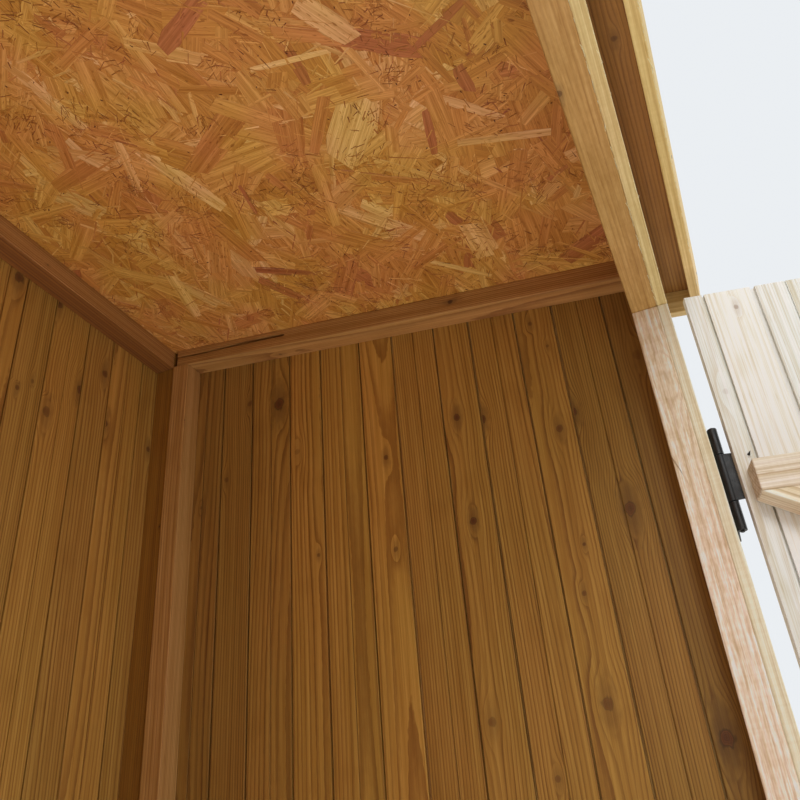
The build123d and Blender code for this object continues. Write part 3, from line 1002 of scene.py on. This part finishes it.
def nail_column(foot, body):
    """Seats of the nails above one another on a board's outer face, whose local Y looks outwards."""
    ground = foot.translation
    levels = LEDGE_LEVELS
    if body == "shelter":
        roof = ROOF_POINT.z - ROOF_NORMAL.y / ROOF_NORMAL.z * (ground.y - ROOF_POINT.y)
        levels = (*WALL_NAIL_LEVELS, roof - UNDER_ROOF)
    return [foot @ Matrix.Translation((0, 0, level - ground.z)) @ BACKWARD for level in levels]


def board_panels():
    """The back wall, then both end walls and both leaves, each from the right one's CAD node."""
    walls = (BOARDS, WALL_STAVES, WALL_JOINT_WIDTHS)
    leaves = (LEAF_BOARDS, DOOR_STAVES, DOOR_JOINT_WIDTHS)
    name = "back_wall_boards"
    low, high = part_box(name)
    place = Matrix.Translation(low)
    seen = (BACK_WALL_KNOTS, BACK_WALL_CLEAR)
    board_panel(name, "shelter", 11, place, high - low, walls, BACK_FIRST_JOINT, *seen)

    name = "_wall_boards"
    low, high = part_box("right" + name)
    size = (high.y - low.y, high.x - low.x, high.z - low.z)
    place = Matrix.Translation((low.x, high.y, low.z)) @ Matrix.Rotation(-math.pi / 2, 4, "Z")
    seen = (END_WALL_KNOTS, END_WALL_CLEAR, END_WALL_TONES_AND_SHADE)
    board_panel("right" + name, "shelter", 15, place, size, walls, END_FIRST_JOINT, *seen)
    board_panel("left" + name, "shelter", 13, MIRROR @ place, size, walls, END_FIRST_JOINT)

    name = "_door_boards"
    low, high = node_extent("right" + name, CLOSED)
    place = OPENED @ Matrix.Translation((high.x, high.y, low.z)) @ Matrix.Rotation(math.pi, 4, "Z")
    seen = (LEAF_KNOTS, LEAF_CLEAR)
    board_panel("right" + name, "right_door", 21, place, high - low, leaves, DOOR_FIRST_JOINT, *seen)
    board_panel("left" + name, "left_door", 22, MIRROR @ place, high - low, leaves, DOOR_FIRST_JOINT)


def framing():
    timbers = {
        "back_wall_rails": BACK_RAILS,
        "back_middle_stile": STILES,
        "header": HEADER,
        "header_trim": TRIM,
        "sill": POSTS,
        "sill_trim": TRIM,
        "roof_joist": STILES,
        "front_roof_batten": BATTENS,
        "back_roof_batten": BATTENS,
        "front_fascia": FASCIAS,
        "back_fascia": FASCIAS,
    }
    paired = {
        "wall_rails": RAILS,
        "wall_stile": STILES,
        "corner_stile": CORNERS,
        "front_post": POSTS,
        "post_trim": PALE_TRIM,
        "roof_batten": BATTENS,
        "end_fascia": FASCIAS,
    }
    for side in ("right_", "left_"):
        timbers.update({side + name: material for name, material in paired.items()})
    for seed, (name, material) in enumerate(timbers.items(), 100):
        slot = "trim" if material in (TRIM, PALE_TRIM, FASCIAS) else "framing"
        timber_node(name, material, "shelter", slot, seed)
    for seed, side in enumerate(("right_door", "left_door"), 200):
        timber_node(side + "_ledges", LEDGES, side, "framing", seed)
        timber_node(side + "_braces", LEDGES, side, "framing", seed + 10)


def trim_nails():
    """Nails in a zigzag along the outer face of every trim and fascia."""
    front = ("header_trim", "sill_trim", "front_fascia", "right_post_trim", "left_post_trim")
    faces = [(name, -Y_AXIS) for name in front]
    faces += [("back_fascia", Y_AXIS), ("right_end_fascia", X_AXIS), ("left_end_fascia", -X_AXIS)]
    seats = []
    for name, direction in faces:
        points, normal = largest_face(name, direction)
        edge = max((b - a for a, b in zip(points, points[1:])), key=lambda one: one.length).normalized()
        place = frame_at(mean_place(points), edge, normal.cross(edge), normal)
        _, half = extent(place.inverted() @ point for point in points)
        reach = half.x - TRIM_NAIL_SETBACK
        count = max(2, round(2 * reach / TRIM_NAIL_SPACING) + 1)
        for number in range(count):
            along = -reach + 2 * reach * number / (count - 1)
            across = half.y * (TRIM_NAIL_ZIGZAG if number % 2 else -TRIM_NAIL_ZIGZAG)
            seats.append(place @ Matrix.Translation((along, across, 0)))
    heads("trim_nails", seats, *NAIL_HEAD, STEEL, "shelter")


def irons():
    for side in ("right", "left"):
        metal_node(side + "_hinge_butts", IRON, "shelter")
        metal_node(side + "_door_straps", IRON, side + "_door")
    metal_node("right_bolt_plate", IRON, "right_door")
    metal_node("right_bolt_bar", STEEL, "right_door")
    metal_node("left_bolt_keeper", IRON, "left_door")


def screws():
    """Black screws of the hinges and the bolt, set on the shut leaves and opened with them."""
    leaf_low, leaf_high = node_extent("right_door_boards", CLOSED)
    butt_face = largest_face("right_hinge_butts", -Y_AXIS)[0][0].y
    strap = [(PIN.x - along, leaf_low.y - STRAP_THICKNESS, up) for along, up in STRAP_SCREWS]
    butt = [(PIN.x - along, butt_face, up) for along, up in BUTT_SCREWS]
    tip = (strap[0][0], leaf_high.y, strap[0][2])
    for side, flip in (("right", Matrix()), ("left", MIRROR)):
        leaf = flip @ OPENED
        body = side + "_door"
        for kind, place, spots, owner in (("strap", leaf, strap, body), ("butt", flip, butt, "shelter")):
            seats = hinge_seats(place, spots, FORWARD)
            heads(f"{side}_{kind}_screws", seats, *SCREW_HEAD, IRON, owner, CROSS_DEPTH)
        screw_tips(side + "_screw_tips", hinge_seats(leaf, [tip], BACKWARD), body)
    for name, places, flip, body in (
        ("bolt_screws", BOLT_SCREWS, Matrix(), "right_door"),
        ("keeper_screws", KEEPER_SCREWS, MIRROR, "left_door"),
    ):
        face = leaf_low.y - BOLT_PLATE_THICKNESS
        spots = [(x, face, BOLT_LEVEL + up) for x in places for up in BOLT_SCREW_RISES]
        seats = [flip @ OPENED @ Matrix.Translation(spot) @ FORWARD for spot in spots]
        heads(name, seats, *SMALL_SCREW_HEAD, IRON, body, CROSS_DEPTH)


def hinge_seats(place, spots, turn):
    """The same seats at both hinges of a leaf."""
    levels = [(x, y, up + level) for level in HINGE_LEVELS for x, y, up in spots]
    return [place @ Matrix.Translation(spot) @ turn for spot in levels]


def screw_tips(name, seats, body):
    """Points of screws that come out through a board."""
    work = bmesh.new()
    for seat in seats:
        bmesh.ops.create_cone(
            work,
            cap_ends=True,
            segments=8,
            radius1=SCREW_TIP_RADIUS,
            radius2=0.0002,
            depth=SCREW_TIP_LENGTH,
            matrix=seat @ Matrix.Translation((0, 0, SCREW_TIP_LENGTH * 0.4)),
        )
    place_piece(worked_mesh(work, name), IRON, body, "black_iron")


def heads(name, seats, radius, rise, material, body, recess=0.0):
    """Round nail or screw heads, each seated with its own Z outwards, as one joined mesh.
    recess is how deep the cross of a screw is, as a share of its rise."""
    work = bmesh.new()
    sides = SCREW_SIDES if recess else NAIL_SIDES
    # Shares of the radius and of the rise
    profile = [(1.0, -0.6), (1.0, 0.35), (0.86, 0.8), (0.5, 1.0)]
    if recess:
        profile += [(0.42, 1.0), (0.36, 1.0 - recess)]
    for seat in seats:
        rings = []
        for share, level in profile:
            ring = []
            for number in range(sides):
                turn = 2 * math.pi * number / sides
                reach = radius * share * (0.4 if share < 0.45 and number % 3 else 1.0)
                point = (math.cos(turn) * reach, math.sin(turn) * reach, rise * level)
                ring.append(work.verts.new(seat @ Vector(point)))
            rings.append(ring)
        for one, two in zip(rings, rings[1:]):
            for n in range(sides):
                after = (n + 1) % sides
                work.faces.new((one[n], one[after], two[after], two[n]))
        work.faces.new(rings[-1])
        work.faces.new(rings[0][::-1])
    face_outwards(work)
    place_piece(worked_mesh(work, name), material, body, "black_iron")


def strand_outline(random, length, width, points):
    """A strand's outline: ragged ends and slightly waving sides."""
    end, half = length / 2, width / 2
    if points == 4:
        skew = random.uniform(-0.3, 0.3) * width
        taper = random.uniform(0.2, 1.0)
        return [(-end + skew, -half), (end, -half * taper), (end - skew, half * taper), (-end, half)]
    ragged = random.uniform(-0.28, 0.28, 4) * width
    waves = random.uniform(0.84, 1.12, 4) * half
    return [
        (-end + ragged[0], -half * 0.8),
        (-end / 3, -waves[0]),
        (end / 2, -waves[1]),
        (end + ragged[1], -half * 0.75),
        (end + ragged[2], half * 0.7),
        (end / 3, waves[2]),
        (-end / 2, waves[3]),
        (-end + ragged[3], half * 0.85),
    ]


def add_strand(pile, seat, length, width, points, tint):
    """One strand as a thin plate with chamfered edges, its length along the seat's X."""
    outline = strand_outline(pile.random, length, width, points)
    chamfer = min(STRAND_CHAMFER, width * 0.2)
    slope = pile.random.uniform(-STRAND_SLOPE, STRAND_SLOPE)
    shrink_x, shrink_y = (1 - 2 * chamfer / size for size in (length, width))
    rises = [slope * 2 * x / length for x, _ in outline]
    top = [(x, y, STRAND_DEPTH + rise) for (x, y), rise in zip(outline, rises)]
    low = [(x * shrink_x, y * shrink_y, rise) for (x, y), rise in zip(outline, rises)]
    count = len(outline)
    faces = [list(range(count)), list(range(2 * count - 1, count - 1, -1))]
    for n in range(count):
        after = (n + 1) % count
        faces.append([n, n + count, after + count, after])
    pile.add(top + low, [face[::-1] for face in faces], seat, tint)


class StrandField:
    """Scatters strands over the underside of the sheet, all of them inside its edges."""

    def __init__(self, seed):
        self.pile = Pile(seed)
        self.random = self.pile.random
        self.low, self.high = node_extent("roof_sheet", ROOF.inverted())

    def somewhere(self):
        return self.random.uniform((-self.high.x, self.low.y), (self.high.x, self.high.y))

    def strand(self, centre, turn, length, width, points, level, tint):
        """One strand, drawn in from the edges so that no corner of it stands out."""
        span_x = abs(math.cos(turn)) * length / 2 + abs(math.sin(turn)) * width + STRAND_MARGIN
        span_y = abs(math.sin(turn)) * length / 2 + abs(math.cos(turn)) * width + STRAND_MARGIN
        lows = (span_x - self.high.x, self.low.y + span_y)
        highs = (self.high.x - span_x, self.high.y - span_y)
        spot = (*np.clip(centre, lows, highs), level)
        seat = ROOF @ Matrix.Translation(spot) @ Matrix.Rotation(turn, 4, "Z")
        add_strand(self.pile, seat, length, width, points, tint)

    def scatter(self, count, lengths, widths, points, spread, frays):
        """Strands of some lengths and widths, with so many points to their outline, each with frays.
        spread from 0 to 1 is how far their colours stray."""
        random = self.random
        for _ in range(count):
            length = random.uniform(*lengths)
            width = min(random.uniform(*widths), length / 2)
            turn = random.normal(0.0, STRAND_TURNS)
            level = random.uniform(*STRAND_LEVELS)
            centre = self.somewhere()
            tint = strand_tint(random, spread)
            self.strand(centre, turn, length, width, points, level, tint)
            for _ in range(frays):
                self.fray(centre, turn, length, width, level, tint)

    def fray(self, centre, turn, length, width, level, tint):
        """A sliver of a strand's own colour over one of its long edges."""
        random = self.random
        side = random.choice((-1, 1)) * random.uniform(0.7, 1.15) * width / 2
        along = random.uniform(-0.4, 0.4) * length
        x = math.cos(turn) * along - math.sin(turn) * side
        y = math.sin(turn) * along + math.cos(turn) * side
        own = (tint[0] + random.normal(0, 0.08), tint[1] * random.uniform(0.7, 1.2), tint[2])
        run = length * random.uniform(0.25, 0.6)
        thin = random.uniform(0.0012, 0.0035)
        lean = turn + random.normal(0, 0.06)
        self.strand(np.add(centre, (x, y)), lean, run, thin, 4, level - 0.0001, own)


def strand_tint(random, spread):
    """Colour, lightness and dimness of a strand by chance."""
    pick = 0.42 + spread * random.normal(0.0, 0.3)
    if random.random() < 0.01:
        pick = random.uniform(0.8, 0.95)
    return [min(max(pick, 0.0), 1.0), random.random(), random.uniform(0.0, 0.1)]


def strand_sheet():
    """The roof sheet: a core board with strands pressed into its underside."""
    field = StrandField(31)
    low, high = field.low, field.high
    around = ((-high.x, low.y), (-high.x, high.y), (high.x, high.y), (high.x, low.y))
    core = prism([(x, y, STRAND_DEPTH) for x, y in around], (0, 0, high.z - STRAND_DEPTH))
    field.pile.add(*mesh_arrays(core), ROOF, (0.5, 0.3, 0.15))
    core.free()
    for layer in STRAND_LAYERS:
        field.scatter(*layer)
    for x, run, degrees, length, width, kind in SEEN_STRANDS:
        tint = (STRAND_KINDS[kind], 0.6, 0.0)
        centre = (x, run + ROOF_FRONT)
        field.strand(centre, math.radians(degrees), length, width, 8, SEEN_STRAND_LEVEL, tint)
    field.pile.piece("roof_sheet_strands", STRANDS, "shelter", "strand_board", "roof_sheet")


def strand_splinters():
    """Nests of short dark fibres between the strands, and single black specks."""
    field = StrandField(32)
    random = field.random
    for _ in range(NESTS):
        centre = field.somewhere()
        spread = random.uniform((0.008, 0.006), (0.034, 0.02))
        main = random.uniform(0, math.pi)
        for _ in range(NEST_FIBRES):
            length = random.uniform(0.004, 0.017)
            width = random.uniform(0.0006, 0.0016)
            turn = main + random.normal(0.0, 0.7)
            tint = (random.uniform(0.2, 1.0), random.random(), random.uniform(0.0, 0.75))
            field.strand(random.normal(centre, spread), turn, length, width, 4, NEST_LEVEL, tint)
    for _ in range(SPECKS):
        length = random.uniform(0.0012, 0.004)
        turn = random.uniform(0, math.pi)
        field.strand(field.somewhere(), turn, length, length * 0.5, 4, SPECK_LEVEL, (0.9, 0.2, 1.0))
    field.pile.piece("roof_sheet_splinters", STRANDS, "shelter", "strand_board")


def torn_fibres():
    """Pale fibres that the saw tore along the lower arrises of the header's trim and the fascia."""
    pile = Pile(51)
    random = pile.random
    low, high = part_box("header_trim")
    fascia = min(largest_face("front_fascia", -Y_AXIS)[0], key=lambda point: point.z)
    reach = abs(fascia.x)
    lines = (
        (low.x, high.x, POST_FRONT, low.z),
        (low.x, high.x, low.y + 0.0008, low.z + 0.0003),
        (-reach, reach, fascia.y + 0.0008, fascia.z + 0.0003),
    )
    for start, end, y, z in lines:
        for _ in range(round((end - start) * TORN_FIBRES)):
            length = random.uniform(0.003, 0.02)
            width = random.uniform(0.0003, 0.0008)
            seat = Matrix.Translation((random.uniform(start + 0.012, end - 0.012), y, z))
            seat = seat @ Matrix.Rotation(random.normal(0, 0.07), 4, "Y")
            seat = seat @ Matrix.Rotation(random.normal(0, 0.1), 4, "Z")
            add_strand(pile, seat, length, width, 4, (0.5, 0.4, 0.95))
    pile.piece("torn_fibres", TORN, "shelter", "trim")


def felt():
    """Two strips of mineral felt; the upper one laps over the lower one."""
    low, high = node_extent("roof_covering", ROOF.inverted())
    reach, top = high.x, high.z
    middle = (low.y + high.y) / 2
    lap_low, lap_high = middle - FELT_LAP / 2, middle + FELT_LAP / 2
    lower_top = top - FELT_SINK
    upper_top = lower_top + FELT_THICKNESS
    random = np.random.default_rng(41)
    work = bmesh.new()
    strips = (
        (low.y, lap_high, low.z, lower_top, lower_top),
        (lap_low, high.y, top - FELT_SINK / 2, upper_top, top),
    )
    for start, end, base, crown, settled in strips:
        phase = random.uniform(0, 6, 4)
        rows = []
        for row in range(FELT_ROWS + 1):
            v = start + (end - start) * row / FELT_ROWS
            settle = min(1.0, max(0.0, 1 - (v - lap_high) / FELT_SETTLE))
            lift = settled + settle * (crown - settled)
            line = []
            for column in range(FELT_COLUMNS + 1):
                u = -reach + 2 * reach * column / FELT_COLUMNS
                wave = math.sin(u * 9 + phase[0]) * math.sin(v * 6 + phase[1]) * 0.5
                wave += math.sin(u * 23 + v * 11 + phase[2]) * 0.25
                edge = min(1.0, min(v - low.y, high.y - v, u + reach, reach - u) / FELT_FLAT_EDGE)
                line.append(work.verts.new((u, v, lift + wave * FELT_WAVE * max(edge, 0.0))))
            rows.append(line)
        for one, two in zip(rows, rows[1:]):
            for corners in zip(one, one[1:], two[1:], two):
                work.faces.new(corners)
        rim = rows[0] + [line[-1] for line in rows[1:]] + rows[-1][-2::-1]
        rim += [line[0] for line in rows[-2:0:-1]]
        under = [work.verts.new((vert.co.x, vert.co.y, base)) for vert in rim]
        for n, vert in enumerate(rim):
            after = (n + 1) % len(rim)
            work.faces.new((vert, under[n], under[after], rim[after]))
        work.faces.new(under)
    face_outwards(work)
    work.transform(ROOF)
    place_piece(worked_mesh(work, "mineral_felt"), FELT, "shelter", "roof_felt", "roof_covering")

    spots = []
    for number in range(CLOUTS_ALONG):
        u = (reach - CLOUT_END) * (2 * number / (CLOUTS_ALONG - 1) - 1)
        spots.append((u, lap_low + CLOUT_LAP_SETBACK, upper_top))
        spots.append((u, low.y + CLOUT_SETBACK, lower_top))
        spots.append((u, high.y - CLOUT_SETBACK, top))
    for number in range(1, CLOUT_SPACES_UP):
        v = low.y + (high.y - low.y) * number / CLOUT_SPACES_UP
        lift = top if v > middle else lower_top
        spots += [(x, v, lift) for x in (CLOUT_SETBACK - reach, reach - CLOUT_SETBACK)]
    heads("clout_nails", [ROOF @ Matrix.Translation(spot) for spot in spots], *CLOUT_HEAD, STEEL, "shelter")


def stage():
    """A pale floor, soft lamps and the photograph's camera."""
    bpy.ops.mesh.primitive_plane_add(size=40)
    floor = bpy.context.object
    floor.name = "studio_floor"
    floor.data.materials.append(floor_material())

    world = bpy.data.worlds.new("studio")
    bpy.context.scene.world = world
    s = Nodes(world)
    light = s.add("Background", {"Color": (1.0, 0.995, 0.985, 1), "Strength": 0.92})
    seen = s.add("Background", {"Color": (0.83, 0.86, 0.89, 1)})
    mix = s.add("MixShader", {0: s.background_rays(), 1: light, 2: seen})
    s.plug(s.tree.nodes["World Output"].inputs[0], mix)

    lamp("key", (-3.2, -1.2, 4.0), (0.4, -0.3, 1.0), 1.8, 1.8, 94)
    lamp("fill", (3.6, -2.2, 2.2), (0, 0.2, 0.8), 2.4, 2.4, 28)
    lamp("back", (-1.5, 4.2, 3.0), (0, 0.4, 0.9), 2.4, 2.4, 45)
    lamp("inside", (0.1, 0.35, 0.05), (0.1, 0.3501, 1.7), 1.5, 0.5, 4.1, 100)

    camera = bpy.data.objects.new("camera", bpy.data.cameras.new("camera"))
    bpy.context.scene.collection.objects.link(camera)
    bpy.context.scene.camera = camera
    camera.data.lens = CAMERA_LENS
    camera.data.clip_start = 0.01
    forward = CAMERA_FORWARD.normalized()
    right = (CAMERA_RIGHT - forward * CAMERA_RIGHT.dot(forward)).normalized()
    camera.matrix_world = frame_at(CAMERA_PLACE, right, right.cross(forward), -forward)


def lamp(name, place, target, width, height, power, spread=180):
    """A soft lamp that no camera sees. It shines within its spread, in degrees."""
    data = bpy.data.lights.new(name, "AREA")
    data.shape = "RECTANGLE"
    data.size = width
    data.size_y = height
    data.energy = power
    data.spread = math.radians(spread)
    data.color = (1.0, 0.99, 0.97)
    light = bpy.data.objects.new(name, data)
    bpy.context.scene.collection.objects.link(light)
    light.visible_camera = False
    place = Vector(place)
    light.location = place
    light.rotation_euler = (Vector(target) - place).to_track_quat("-Z", "Y").to_euler()


board_panels()
framing()
trim_nails()
irons()
screws()
strand_sheet()
strand_splinters()
torn_fibres()
felt()
stage()

view = bpy.context.scene.view_settings
view.view_transform = "Standard"
